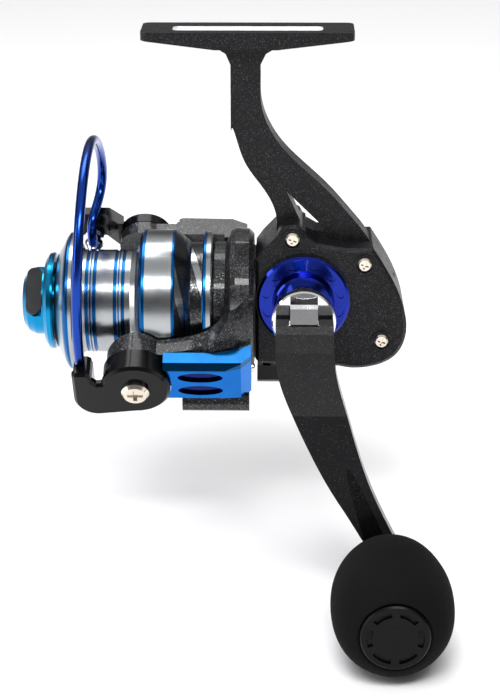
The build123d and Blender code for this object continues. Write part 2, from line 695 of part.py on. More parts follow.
with BuildPart() as bail_holder:
    with BuildSketch(near_plane(far_inner)):
        with Locations((pivot_x, 0)):
            Circle(7.4)
        with BuildLine():
            Polyline((pivot_x, 7.4), (-38.4, 2.6), (-38.4, -6.2), (pivot_x, -7.4), close=True)
        make_face()
    extrude(amount=far_outer - far_inner)
    with BuildSketch(rotor_profile.offset(2.6)):
        with BuildLine():
            Polyline((-37.0, far_inner), (-37.0, far_outer), (-41.5, -31.2), (-50.0, -31.2), (-50.0, -28.4),
                     (-42.6, -28.4), (-38.6, far_inner), close=True)
        make_face()
    extrude(amount=-8.8)
    with BuildSketch(near_plane(far_inner)):
        with Locations((pivot_x, 0)):
            Circle(2.0)
    extrude(amount=far_outer - far_inner, mode=Mode.SUBTRACT)
    with BuildSketch(near_plane(-28.0)):
        with Locations((roller_x, roller_b)):
            Circle(1.0)
    extrude(amount=-4.0, mode=Mode.SUBTRACT)
keep("bail_holder", bail_holder)
screws("line_roller_screw",
       [Plane(origin=rotor_point(roller_x, -31.2, roller_b), x_dir=(1, 0, 0), z_dir=-near)],
       head=2.2, rise=1.2, shank=1.0, lengths=[9.4])
turned("line_roller", [(-28.1, 1.05), (-28.1, 2.9), (-27.2, 2.9), (-26.4, 2.2), (-25.4, 2.2), (-24.4, 2.9),
                       (-23.8, 2.9), (-23.8, 1.05)], roller_side, roller_axis)
turned("wire_cone", [(-23.5, 1.0), (-23.5, 2.9), (-22.8, 2.9), (-20.8, 1.7), (-20.5, 1.0)],
       roller_side, roller_axis)
# The wire's corners: place along the shaft, towards the near arm, and across it.
wire_route = [(-45.9, 28.4, 5.2), (-45.9, 28.4, 13.0), (-45.4, 24.6, 27.6), (-44.8, 14.0, 40.4), (-44.2, -2.0, 46.0),
              (-43.8, -19.0, 44.2), (-43.4, -32.0, 33.4), (-43.2, -38.6, 18.0), (-43.8, -36.0, 9.6),
              (-45.2, -29.6, 8.4), (-46.4, -22.6, 7.2), (-46.2, -22.2, 0.1)]
corners = [rotor_point(*place) for place in wire_route]
bend_radii = []
for before, here, after in zip(corners, corners[1:], corners[2:]):
    bend = radians((here - before).get_angle(after - here))
    shorter = min((here - before).length, (after - here).length)
    bend_radii.append(0.45 * shorter / tan(bend / 2))
with BuildPart() as bail_wire:
    with BuildLine():
        wire_path = FilletPolyline(*corners, radius=bend_radii)
    with BuildSketch(Plane(origin=wire_path @ 0, z_dir=wire_path % 0)):
        Circle(wire_diameter / 2)
    sweep()
keep("bail_wire", bail_wire)

# ---- main shaft and what slides with it ----
shaft_front = -61.0
shaft_rear = 37.6
slider_start = 30.2
slider_end = 35.8
turned("main_shaft", [(shaft_front, 0), (shaft_rear, 0), (shaft_rear, shaft_radius),
                      (shaft_front, shaft_radius)])
with BuildPart() as oscillation_slider:
    with BuildSketch(cross_plane(slider_start)):
        with Locations((0.1, 0)):
            RectangleRounded(4.6, 17.4, 1.0)
        Circle(shaft_radius, mode=Mode.SUBTRACT)
        with Locations((0, rod_offset), (0, -rod_offset)):
            Circle(rod_radius + running_gap, mode=Mode.SUBTRACT)
    extrude(amount=slider_end - slider_start)
    with BuildSketch(flat_plane(2.4)):
        with Locations(((slider_start + slider_end) / 2, shaft_z)):
            Rectangle(2.6, 13.4)
    extrude(amount=0.7, mode=Mode.SUBTRACT)
    with BuildSketch(flat_plane(-2.2)):
        with Locations(((slider_start + slider_end) / 2, shaft_z)):
            Circle(1.2)
    extrude(amount=-0.7, mode=Mode.SUBTRACT)
keep("oscillation_slider", oscillation_slider)
with BuildPart() as slider_screw:
    with BuildSketch(flat_plane(-1.52)):
        with Locations(((slider_start + slider_end) / 2, shaft_z)):
            Circle(1.15)
    extrude(amount=0.66)
    with BuildSketch(flat_plane(-1.9)):
        with Locations(((slider_start + slider_end) / 2, shaft_z)):
            Rectangle(2.4, 0.4)
    extrude(amount=1.0, mode=Mode.SUBTRACT)
keep("slider_screw", slider_screw)
spool_rear = -23.2
with BuildPart() as spool_support:
    with BuildSketch(cross_plane(spool_rear + 0.2)):
        Circle(6.2)
        with PolarLocations(6.4, 20):
            Circle(0.55, mode=Mode.SUBTRACT)
        Circle(shaft_radius, mode=Mode.SUBTRACT)
    extrude(amount=1.2)
    with BuildSketch(cross_plane(spool_rear + 1.4)):
        Circle(3.4)
        Circle(shaft_radius, mode=Mode.SUBTRACT)
    extrude(amount=1.4)
keep("spool_support", spool_support)

# ---- spool ----
drag_floor = -43.0
cavity_radius = 11.2
with BuildPart() as spool:
    with BuildSketch(shaft_side):
        with BuildLine():
            Polyline((-54.4, cavity_radius), (-54.4, 13.2), (-51.2, lip_radius - 0.6), (-50.6, lip_radius),
                     (-49.0, lip_radius), (-48.6, 19.0), (-47.2, 15.2), (-46.6, arbor_radius), (-45.6, arbor_radius),
                     (-45.6, 14.3), (-44.8, 14.3), (-44.8, arbor_radius), (-43.4, arbor_radius), (-43.4, 14.3),
                     (-42.6, 14.3), (-42.6, arbor_radius), (-37.6, arbor_radius), (-37.6, 14.3), (-36.8, 14.3),
                     (-36.8, arbor_radius), (-35.4, arbor_radius), (-35.4, 14.3), (-34.6, 14.3),
                     (-34.6, arbor_radius), (-33.0, arbor_radius), (-31.6, 15.4), (-30.4, 19.4),
                     (-29.8, skirt_radius - 0.3), (-29.4, skirt_radius), (-20.7, skirt_radius), (-20.3, 20.4),
                     (-15.9, 16.9), (-12.8, 16.9), (-12.6, 19.8), (-12.2, 20.1), (-10.3, 20.1), (-9.9, 19.8),
                     (-9.9, 17.6), (-12.1, 17.6), (-12.1, 15.4), (-16.4, 15.4), (-21.0, 19.1), (-28.4, 19.1),
                     (-29.6, 13.2), (-41.6, 13.2), (-41.6, 4.6), (spool_rear, 4.6), (spool_rear, bore),
                     (drag_floor - 0.6, bore), (drag_floor - 0.6, cavity_radius), close=True)
        make_face()
    revolve(axis=shaft_axis)
    # groove for the ring that holds the drag discs in, and the click pawl's seat
    with BuildSketch(cross_plane(-50.4)):
        Circle(11.7)
    extrude(amount=0.7, mode=Mode.SUBTRACT)
keep("spool", spool)
with BuildPart() as drag_felts:
    for start in (-44.55, -46.1, -47.65):
        with BuildSketch(cross_plane(start)):
            Circle(10.4)
            Circle(1.8, mode=Mode.SUBTRACT)
        extrude(amount=0.9)
keep("drag_felts", drag_felts)
with BuildPart() as drag_discs:
    for start in (-45.15, -46.7, -48.25):
        with BuildSketch(cross_plane(start)):
            Circle(10.8)
            Circle(1.7, mode=Mode.SUBTRACT)
        extrude(amount=0.5)
keep("drag_discs", drag_discs)
with BuildPart() as drag_retaining_ring:
    with BuildSketch(cross_plane(-50.3)):
        Circle(11.6)
        Circle(9.6, mode=Mode.SUBTRACT)
        with Locations((0, 11)):
            Rectangle(3.0, 6.0, mode=Mode.SUBTRACT)
    extrude(amount=0.5)
keep("drag_retaining_ring", drag_retaining_ring)
with BuildPart() as click_pawl:
    with BuildSketch(cross_plane(-41.5)):
        with Locations((0, 8.6)):
            SlotOverall(5.0, 2.0, rotation=90)
    extrude(amount=1.4)
keep("click_pawl", click_pawl)
with BuildPart() as line_clip:
    with BuildSketch(Plane(origin=(-25.2, 0, shaft_z - skirt_radius), x_dir=(1, 0, 0), z_dir=(0, 0, -1))):
        SlotOverall(5.6, 3.0)
    extrude(amount=0.35)
keep("line_clip", line_clip)

# ---- drag knob ----
flange_back = -55.0
dome_radius = 9.7
pad_seat = 6.4
# the knob stands turned, so that one pad faces up and towards the handle side
pad_turn = radians(39.0)
pad_way = Vector(0, cos(pad_turn), -sin(pad_turn))
pad_middle = Vector(0, 0, shaft_z)


def knob_plane(x):
    """Plane square to the shaft whose local x points through the middle of the grip pads."""
    return Plane(origin=(x, 0, shaft_z), x_dir=pad_way, z_dir=(1, 0, 0))


with BuildPart() as drag_knob:
    with BuildSketch(shaft_side):
        with BuildLine():
            Polyline((-49.6, 8.6), (flange_back, 8.6), (flange_back, 13.6), (-55.5, 13.9), (-56.6, 13.7),
                     (-57.6, 12.4), (-58.0, dome_radius), (-60.6, dome_radius), (-62.6, 8.8), (-64.0, 7.0),
                     (-64.6, 4.0), (-64.6, 0), (-61.6, 0), (-61.6, 4.6), (-49.6, 4.6), close=True)
        make_face()
    revolve(axis=shaft_axis)
    # flats on both sides of the dome, where the grip pads sit
    with BuildSketch(knob_plane(-62.9)):
        with Locations((dome_radius, 0), (-dome_radius, 0)):
            Rectangle(2 * (dome_radius - pad_seat), 14.6)
    extrude(amount=4.5, mode=Mode.SUBTRACT)
keep("drag_knob", drag_knob)
with BuildPart() as drag_knob_pads:
    for sense in (1, -1):
        with BuildSketch(Plane(origin=pad_middle + sense * pad_seat * pad_way, x_dir=(1, 0, 0),
                               z_dir=sense * pad_way)):
            with Locations((-60.65, 0)):
                RectangleRounded(4.3, 13.8, 2.1)
        extrude(amount=1.9)
keep("drag_knob_pads", drag_knob_pads)
with BuildPart() as drag_knob_nut:
    with BuildSketch(cross_plane(-61.0)):
        RegularPolygon(4.4, 6)
        Circle(shaft_radius + running_gap, mode=Mode.SUBTRACT)
    extrude(amount=2.4)
keep("drag_knob_nut", drag_knob_nut)
with BuildPart() as drag_knob_spring:
    with BuildLine():
        coil = Helix(pitch=1.5, height=6.0, radius=3.2, center=(-57.4, 0, shaft_z), direction=(1, 0, 0))
    with BuildSketch(Plane(origin=coil @ 0, z_dir=coil % 0)):
        Circle(0.4)
    sweep()
keep("drag_knob_spring", drag_knob_spring)

# ---- folding handle: arm, pin, post and grip ----
tip_inner = -49.2
tip_outer = -53.4
post_radius = 2.0
with BuildPart() as handle_arm:
    # side outline, looking along X: the fork at the hinge and the arm leaning outwards
    with BuildSketch(Plane(origin=(-20.0, 0, 0), x_dir=(0, 1, 0), z_dir=(1, 0, 0))):
        with BuildLine():
            Polyline((-33.0, -72.6), (-39.6, -72.0), (-41.4, -74.0), (-42.0, -79.0), (-44.6, -96.0),
                     (tip_outer, knob_z + 7.0), (tip_outer, knob_z - 4.9), (tip_inner, knob_z - 4.9),
                     (tip_inner, knob_z + 7.0), (-40.2, -98.0), (-36.4, -88.0), (-35.0, -82.5), (-34.6, -80.2),
                     (-32.3, -78.6), (-32.1, -75.0), close=True)
        make_face()
    extrude(amount=80.0)
    # front outline, looking at the handle side
    with BuildSketch(flat_plane(0)):
        with BuildLine():
            Line((crank_x - 7.6, -70.0), (crank_x - 7.6, -80.0))
            Spline((crank_x - 7.6, -80.0), (crank_x - 7.2, -84.0), (12.6, -96.0), (22.4, -114.6),
                   (knob_x - 4.4, knob_z + 2.0), tangents=[(0, -1), (0.6, -1)])
            ThreePointArc((knob_x - 4.4, knob_z + 2.0), (knob_x - 0.6, knob_z - 4.8),
                          (knob_x + 4.6, knob_z + 1.4))
            Spline((knob_x + 4.6, knob_z + 1.4), (33.6, -114.6), (27.0, -95.0), (crank_x + 8.5, -84.0),
                   (crank_x + 7.8, -70.0), tangents=[(-0.5, 1), (-0.05, 1)])
            Line((crank_x + 7.8, -70.0), (crank_x - 7.6, -70.0))
        make_face()
    extrude(amount=80.0, mode=Mode.INTERSECT)
    # room for the hinge block between the fork's cheeks
    with BuildSketch(Plane(origin=(crank_x - block_half - 0.3, 0, 0), x_dir=(0, 1, 0), z_dir=(1, 0, 0))):
        with Locations((fold_y, fold_z)):
            Circle(4.5)
        with BuildLine():
            Polyline((-31.0, -64.0), (-39.3, -64.0), (-40.1, fold_z), (-37.0, fold_z - 4.2), (-31.0, fold_z - 4.5),
                     close=True)
        make_face()
    extrude(amount=2 * block_half + 0.6, mode=Mode.SUBTRACT)
    with BuildSketch(Plane(origin=(-20.0, fold_y, fold_z), x_dir=(0, 1, 0), z_dir=(1, 0, 0))):
        Circle(pin_radius + running_gap)
    extrude(amount=80.0, mode=Mode.SUBTRACT)
    with BuildSketch(flat_plane(0)):
        with Locations((knob_x, knob_z)):
            Circle(post_radius)
    extrude(amount=80.0, mode=Mode.SUBTRACT)
keep("handle_arm", handle_arm)
with BuildPart() as fold_pin:
    with BuildSketch(Plane(origin=(crank_x - 7.2, fold_y, fold_z), x_dir=(0, 1, 0), z_dir=(1, 0, 0))):
        Circle(pin_radius)
    extrude(amount=14.4)
keep("fold_pin", fold_pin)
knob_side = Plane(origin=(knob_x, 0, knob_z), x_dir=(0, -1, 0), z_dir=(1, 0, 0))
knob_axis = Axis((knob_x, 0, knob_z), (0, -1, 0))
turned("knob_post", [(48.0, 0), (48.0, 4.0), (49.1, 4.2), (49.1, post_radius), (92.0, post_radius), (92.0, 0)],
       knob_side, knob_axis)
turned("knob_grip", [(56.0, 3.6), (56.0, 7.0), (57.0, 8.6), (61.0, 11.6), (67.0, 14.2), (73.0, 15.5), (79.0, 16.0),
                     (85.0, 15.8), (90.0, 14.6), (93.6, 12.6), (95.6, 10.4), (96.0, 9.2), (94.6, 9.0),
                     (94.6, 3.6)], knob_side, knob_axis)
turned("knob_bush", [(54.0, 2.06), (54.0, 4.4), (55.8, 4.4), (55.8, 3.6), (91.0, 3.6), (91.0, 2.06)],
       knob_side, knob_axis)
with BuildPart() as knob_cap:
    with BuildSketch(knob_side):
        with BuildLine():
            Polyline((94.6, 0), (94.6, 8.9), (96.1, 8.9), (96.5, 8.5), (96.5, 0), close=True)
        make_face()
    revolve(axis=knob_axis)
    for index in range(6):
        with BuildSketch(Plane(origin=(knob_x, -95.7, knob_z), x_dir=(1, 0, 0), z_dir=(0, -1, 0))):
            with BuildLine():
                outer = CenterArc((0, 0), 7.3, 60 * index - 21, 42)
                inner = CenterArc((0, 0), 5.9, 60 * index - 21, 42)
                Line(outer @ 0, inner @ 0)
                Line(outer @ 1, inner @ 1)
            make_face()
        extrude(amount=1.0, mode=Mode.SUBTRACT)
keep("knob_cap", knob_cap)
turned("knob_screw", [(92.0, 0), (92.0, 3.2), (93.6, 3.2), (93.6, 0)], knob_side, knob_axis)


for name, piece in pieces.items():
    piece.label = name
    export_step(piece, f"parts/{name}.step")
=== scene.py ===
import math
import bpy
import numpy as np
from mathutils import Matrix, Vector


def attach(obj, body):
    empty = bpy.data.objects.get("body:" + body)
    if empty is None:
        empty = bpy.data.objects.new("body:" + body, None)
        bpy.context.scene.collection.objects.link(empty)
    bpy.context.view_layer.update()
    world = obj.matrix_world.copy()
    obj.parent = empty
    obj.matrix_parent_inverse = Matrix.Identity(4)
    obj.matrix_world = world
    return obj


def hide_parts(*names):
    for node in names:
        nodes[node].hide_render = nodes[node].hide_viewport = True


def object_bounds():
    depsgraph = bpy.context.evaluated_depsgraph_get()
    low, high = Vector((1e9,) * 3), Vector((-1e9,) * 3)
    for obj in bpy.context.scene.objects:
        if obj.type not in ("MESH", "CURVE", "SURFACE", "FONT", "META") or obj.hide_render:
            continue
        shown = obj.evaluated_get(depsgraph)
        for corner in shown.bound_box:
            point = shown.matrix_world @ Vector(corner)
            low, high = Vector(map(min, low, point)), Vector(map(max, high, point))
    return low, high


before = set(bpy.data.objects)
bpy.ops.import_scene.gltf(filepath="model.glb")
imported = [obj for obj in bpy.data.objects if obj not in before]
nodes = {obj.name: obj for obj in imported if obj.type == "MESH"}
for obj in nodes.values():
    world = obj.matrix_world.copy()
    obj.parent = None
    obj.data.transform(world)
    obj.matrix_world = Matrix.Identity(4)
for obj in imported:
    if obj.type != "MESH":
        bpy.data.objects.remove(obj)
cadBox = [list(corner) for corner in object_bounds()]
print("frame loaded,", len(nodes), "parts")

# Places that several pieces share, in millimetres. X runs to the rear, Z up, the crank comes out on -Y.
mm = 0.001
shaftHeight = -78.7
shaftPlace = (0.0, 0.0, shaftHeight)
crankPlace = (15.6, 0.0, -74.1)
knobPlace = (38.4, -134.4)           # X and Z of the knob's own axis
rotorTurn = math.radians(29.7)       # the rotor's arms stand turned by this about the shaft
towardArm = np.array([0.0, -math.cos(rotorTurn), -math.sin(rotorTurn)])
acrossArm = np.array([0.0, -math.sin(rotorTurn), math.cos(rotorTurn)])


def addNode(finish, kind, values=None, **options):
    node = finish.node_tree.nodes.new("ShaderNode" + kind)
    for option, value in options.items():
        setattr(node, option, value)
    for socket, value in (values or {}).items():
        if isinstance(value, bpy.types.NodeSocket):
            finish.node_tree.links.new(value, node.inputs[socket])
        else:
            node.inputs[socket].default_value = value
    return node


def calc(finish, operation, first, second=0.0):
    return addNode(finish, "Math", {0: first, 1: second}, operation=operation).outputs[0]


def every(finish, *tests):
    # 1 where every test is 1
    met = tests[0]
    for test in tests[1:]:
        met = calc(finish, "MULTIPLY", met, test)
    return met


def between(finish, value, low, high):
    # 1 where value lies between two places in millimetres
    return every(finish, calc(finish, "GREATER_THAN", value, low * mm),
                 calc(finish, "LESS_THAN", value, high * mm))


def noise(finish, scale, detail):
    values = {"Vector": place(finish), "Scale": scale, "Detail": detail}
    return addNode(finish, "TexNoise", values).outputs["Fac"]


def cells(finish, size):
    return addNode(finish, "TexVoronoi", {"Vector": place(finish), "Scale": 1 / (size * mm)}).outputs


def blendColour(finish, amount, low, high):
    mixed = addNode(finish, "Mix", data_type="RGBA")
    for socket, value in ((0, amount), (6, low), (7, high)):
        if isinstance(value, bpy.types.NodeSocket):
            finish.node_tree.links.new(value, mixed.inputs[socket])
        else:
            mixed.inputs[socket].default_value = value if socket == 0 else (*value, 1.0)
    return mixed.outputs[2]


def place(finish):
    return addNode(finish, "TexCoord").outputs["Object"]


def axes(finish):
    return addNode(finish, "SeparateXYZ", {"Vector": place(finish)}).outputs


def fromLine(finish, centre, along):
    # distance from the line through centre that runs along one axis
    here = dict(zip("XYZ", axes(finish)))
    sides = {axis: calc(finish, "SUBTRACT", here[axis], middle * mm)
             for axis, middle in zip("XYZ", centre) if axis != along}
    flat = addNode(finish, "CombineXYZ", sides).outputs[0]
    return addNode(finish, "VectorMath", {0: flat}, operation="LENGTH").outputs["Value"]


def shaderOf(finish):
    return finish.node_tree.nodes["Principled BSDF"]


def newFinish(name, look):
    # the keys of look that are written like a shader socket are set on the shader itself
    finish = bpy.data.materials.new(name)
    finish.use_nodes = True
    sockets = shaderOf(finish).inputs
    for socket, value in look.items():
        if socket in sockets:
            sockets[socket].default_value = (*value, 1.0) if isinstance(value, tuple) else value
    return finish


def feed(finish, socket, value):
    finish.node_tree.links.new(value, shaderOf(finish).inputs[socket])


def fed(finish, socket):
    return shaderOf(finish).inputs[socket].links[0].from_socket


def unevenGloss(finish, look):
    # handling marks: a soft noise moves the roughness up and down by look["smudge"]
    smudge = addNode(finish, "TexNoise", {"Vector": place(finish), "Scale": 160.0, "Detail": 4.0,
                                          "Roughness": 0.6}).outputs["Fac"]
    low, high = look["Roughness"] - look["smudge"], look["Roughness"] + look["smudge"]
    feed(finish, "Roughness", addNode(finish, "MapRange", {
        "Value": smudge, "From Min": 0.3, "From Max": 0.7, "To Min": low, "To Max": high}).outputs[0])


def roughen(finish, height, depth, strength=1.0):
    # bump from a height between 0 and 1; depth in millimetres
    bump = addNode(finish, "Bump", {"Height": height, "Strength": strength, "Distance": depth * mm})
    feed(finish, "Normal", bump.outputs["Normal"])


def flakePaint(name, look):
    # Metallic paint: each small cell gets a random number, and the cells over 1 - share shine as flakes,
    # each tilted its own way under a smooth clear coat.
    finish = newFinish(name, look)
    lot = cells(finish, look["flake"])["Color"]
    chance = addNode(finish, "SeparateColor", {"Color": lot}).outputs["Red"]
    shine = addNode(finish, "MapRange", {"Value": chance, "From Min": 1 - look["share"], "From Max": 1.0})
    shine = calc(finish, "POWER", shine.outputs[0], 1.5)
    under = blendColour(finish, noise(finish, 90.0, 2.0), look["dark"], look["darkToo"])
    feed(finish, "Base Color", blendColour(finish, shine, under, look["bright"]))
    feed(finish, "Metallic", calc(finish, "MULTIPLY", shine, 0.9))
    tilt = addNode(finish, "VectorMath", {0: lot, 1: (0.5, 0.5, 0.5)}, operation="SUBTRACT")
    tilt = addNode(finish, "VectorMath", {0: tilt.outputs[0], "Scale": look["tilt"]}, operation="SCALE")
    facing = addNode(finish, "NewGeometry").outputs["Normal"]
    turned = addNode(finish, "VectorMath", {0: facing, 1: tilt.outputs[0]}, operation="ADD")
    turned = addNode(finish, "VectorMath", {0: turned.outputs[0]}, operation="NORMALIZE")
    feed(finish, "Normal", turned.outputs[0])
    unevenGloss(finish, look)
    return finish


def footInlay(finish, look):
    # the floor of the recess in the foot's top is bare bright metal: inside a box just under the top
    x, y, z = axes(finish)
    inside = every(finish, between(finish, z, -look["deepest"], -look["shallowest"]),
                   between(finish, x, -look["halfLong"], look["halfLong"]),
                   between(finish, y, -look["halfWide"], look["halfWide"]))
    feed(finish, "Base Color", blendColour(finish, inside, fed(finish, "Base Color"), look["bare"]))
    outside = calc(finish, "MULTIPLY", fed(finish, "Metallic"), calc(finish, "SUBTRACT", 1.0, inside))
    bare = calc(finish, "MULTIPLY", inside, look["bareMetallic"])
    feed(finish, "Metallic", calc(finish, "ADD", outside, bare))


def glossDrop(finish, look):
    # a long drop of plain gloss black: narrower than halfWide * sqrt(t) at the share t of the way down
    x, y, z = axes(finish)
    (topX, topZ), (endX, endZ) = look["top"], look["end"]
    length = math.hypot(endX - topX, endZ - topZ)
    wayX, wayZ = (endX - topX) / length, (endZ - topZ) / length
    fromX = calc(finish, "SUBTRACT", x, topX * mm)
    fromZ = calc(finish, "SUBTRACT", z, topZ * mm)
    down = calc(finish, "ADD", calc(finish, "MULTIPLY", fromX, wayX), calc(finish, "MULTIPLY", fromZ, wayZ))
    aside = calc(finish, "ABSOLUTE", calc(finish, "SUBTRACT", calc(finish, "MULTIPLY", fromX, wayZ),
                                          calc(finish, "MULTIPLY", fromZ, wayX)))
    share = calc(finish, "DIVIDE", down, length * mm)
    root = calc(finish, "SQRT", calc(finish, "MAXIMUM", share, 0.0))
    half = calc(finish, "MULTIPLY", root, look["halfWide"] * mm)
    inside = every(finish, calc(finish, "LESS_THAN", aside, half),
                   calc(finish, "LESS_THAN", share, look["lastShare"]),
                   calc(finish, "LESS_THAN", y, look["behind"] * mm))
    feed(finish, "Base Color", blendColour(finish, inside, fed(finish, "Base Color"), look["tone"]))
    for socket, cut in look["cuts"].items():
        kept = calc(finish, "SUBTRACT", 1.0, calc(finish, "MULTIPLY", inside, cut))
        feed(finish, socket, calc(finish, "MULTIPLY", fed(finish, socket), kept))


def turnedMetal(name, look, centre=shaftPlace, along="X"):
    # Lathe marks: noise that depends only on the place along the axis and the distance from it.
    finish = newFinish(name, look)
    rings = addNode(finish, "CombineXYZ", {"X": axes(finish)[along], "Y": fromLine(finish, centre, along)})
    marks = addNode(finish, "TexNoise", {"Vector": rings.outputs[0], "Scale": 1 / (look["cut"] * mm),
                                         "Detail": 2.0})
    roughen(finish, marks.outputs["Fac"], look["cutDepth"])
    feed(finish, "Base Color", blendColour(finish, noise(finish, 120.0, 3.0), look["dark"], look["bright"]))
    unevenGloss(finish, look)
    return finish


def moulded(name, look):
    # moulded plastic, rubber or cast metal: two close tones and a fine grain
    finish = newFinish(name, look)
    feed(finish, "Base Color", blendColour(finish, noise(finish, 140.0, 4.0), look["dark"], look["bright"]))
    roughen(finish, noise(finish, 1 / (look["grain"] * mm), 3.0), look["grainDepth"])
    unevenGloss(finish, look)
    return finish


# Painted castings: the fine flake of the body, the coarser flake of the rotor
bodyPaint = {"flake": 0.15, "share": 0.1, "tilt": 0.5, "dark": (0.0025, 0.0025, 0.003),
             "darkToo": (0.005, 0.005, 0.006), "bright": (0.12, 0.122, 0.13), "Roughness": 0.36, "smudge": 0.05,
             "Coat Weight": 0.08, "Coat Roughness": 0.2, "Specular IOR Level": 0.2}
rotorPaint = {"flake": 0.22, "share": 0.16, "tilt": 0.5, "dark": (0.003, 0.003, 0.0035),
              "darkToo": (0.006, 0.006, 0.007), "bright": (0.22, 0.225, 0.24), "Roughness": 0.3, "smudge": 0.05,
              "Coat Weight": 0.4, "Coat Roughness": 0.07, "Specular IOR Level": 0.25}
armPaint = {"flake": 0.15, "share": 0.05, "tilt": 0.25, "dark": (0.0025, 0.0025, 0.003),
            "darkToo": (0.005, 0.005, 0.006), "bright": (0.1, 0.102, 0.11), "Roughness": 0.34, "smudge": 0.05,
            "Coat Weight": 0.35, "Coat Roughness": 0.12, "Specular IOR Level": 0.2}
armDrop = {"top": (27.4, -109.6), "end": (34.9, -128.2), "halfWide": 2.7, "lastShare": 1.15, "behind": -44.0,
           "tone": (0.0015, 0.0015, 0.0018), "cuts": {"Roughness": 0.75, "Metallic": 1.0}}
footRecess = {"shallowest": 0.35, "deepest": 2.6, "halfLong": 21.0, "halfWide": 5.2, "bare": (0.86, 0.86, 0.87),
              "bareMetallic": 0.6}
flakeBlack = flakePaint("fineFlakeBlack", bodyPaint)
rotorBlack = flakePaint("coarseFlakeBlack", rotorPaint)
armBlack = flakePaint("armFlakeBlack", armPaint)
# painted shade: the far arm takes the rotor paint with dimmer flakes, so it reads darker
farArmShadedBlack = flakePaint("farArmShadedBlack", {**rotorPaint, "bright": (0.16, 0.165, 0.17)})
glossDrop(armBlack, armDrop)
footInlay(flakeBlack, footRecess)

# Metals and plastics that need nothing but their own values
brightPlate = {"dark": (0.78, 0.79, 0.8), "bright": (0.88, 0.88, 0.9), "Metallic": 1.0, "Roughness": 0.09,
               "smudge": 0.04, "cut": 0.2, "cutDepth": 0.0015}
ballSteel = {"dark": (0.5, 0.5, 0.51), "bright": (0.66, 0.66, 0.67), "Metallic": 1.0, "Roughness": 0.26,
             "smudge": 0.07, "cut": 0.12, "cutDepth": 0.003}
screwNickel = {"dark": (0.68, 0.6, 0.5), "bright": (0.86, 0.78, 0.68), "Metallic": 1.0, "Roughness": 0.2,
               "smudge": 0.08, "cut": 0.1, "cutDepth": 0.002}
cutBrass = {"dark": (0.6, 0.42, 0.16), "bright": (0.8, 0.6, 0.28), "Metallic": 1.0, "Roughness": 0.28,
            "smudge": 0.08, "cut": 0.14, "cutDepth": 0.003}
castZinc = {"dark": (0.3, 0.31, 0.33), "bright": (0.46, 0.47, 0.49), "Metallic": 1.0, "Roughness": 0.42,
            "smudge": 0.08, "grain": 0.3, "grainDepth": 0.012}
blackPlastic = {"dark": (0.001, 0.001, 0.0011), "bright": (0.003, 0.003, 0.0032), "Roughness": 0.16,
                "smudge": 0.05, "grain": 0.25, "grainDepth": 0.003, "Specular IOR Level": 0.2}
capPlastic = {"dark": (0.001, 0.001, 0.0011), "bright": (0.003, 0.003, 0.0032), "Roughness": 0.3,
              "smudge": 0.06, "grain": 0.3, "grainDepth": 0.004, "Specular IOR Level": 0.12}
padRubber = {"dark": (0.003, 0.003, 0.0035), "bright": (0.012, 0.012, 0.014), "Roughness": 0.55,
             "smudge": 0.08, "grain": 0.35, "grainDepth": 0.06, "Specular IOR Level": 0.3}
pressedFelt = {"dark": (0.34, 0.29, 0.2), "bright": (0.52, 0.46, 0.34), "Roughness": 0.95, "smudge": 0.03,
               "grain": 0.2, "grainDepth": 0.05}
chrome = turnedMetal("brightPlate", brightPlate, crankPlace, "Y")
steel = turnedMetal("ballSteel", ballSteel)
nickel = turnedMetal("screwNickel", screwNickel, crankPlace, "Y")
brass = turnedMetal("cutBrass", cutBrass)
zinc = moulded("castZinc", castZinc)
plastic = moulded("blackPlastic", blackPlastic)
capBlack = moulded("capPlastic", capPlastic)
rubber = moulded("padRubber", padRubber)
felt = moulded("pressedFelt", pressedFelt)

# Dyed aluminium: turned metal under a thin clear film
coverBlue = {"dark": (0.0, 0.12, 0.5), "bright": (0.0, 0.19, 0.66), "Metallic": 1.0, "Roughness": 0.17,
             "smudge": 0.03, "cut": 0.3, "cutDepth": 0.0008, "Coat Weight": 0.15, "Coat Roughness": 0.04}
wireBlue = {"dark": (0.002, 0.028, 0.24), "bright": (0.003, 0.055, 0.4), "Metallic": 1.0, "Roughness": 0.2,
            "smudge": 0.05, "cut": 0.2, "cutDepth": 0.001, "Coat Weight": 0.3, "Coat Roughness": 0.06}
ringBlue = {"dark": (0.001, 0.007, 0.16), "bright": (0.002, 0.022, 0.34), "Metallic": 1.0, "Roughness": 0.14,
            "smudge": 0.04, "cut": 0.2, "cutDepth": 0.001, "Coat Weight": 0.35, "Coat Roughness": 0.04}
knobCyan = {"dark": (0.0, 0.17, 0.4), "bright": (0.0, 0.29, 0.56), "Metallic": 1.0, "Roughness": 0.2,
            "smudge": 0.04, "cut": 0.25, "cutDepth": 0.002, "Coat Weight": 0.2, "Coat Roughness": 0.06}
azure = turnedMetal("coverBlue", coverBlue)
royal = turnedMetal("wireBlue", wireBlue)
ultramarine = turnedMetal("ringBlue", ringBlue, crankPlace, "Y")
cyan = turnedMetal("knobCyan", knobCyan)

# The arm cover: painted shade that darkens the bevel towards the sky, and painted shade that darkens its two
# lens-shaped hollows
coverShadeZones = {"edge": 5.5, "edgeTint": (0.0, 0.08, 0.24), "hollowDepth": (29.6, 30.82), "hollowAcross": 5.1,
              "hollowLength": (-19.2, -6.4), "hollowPaintedShade": (0.002, 0.01, 0.12)}


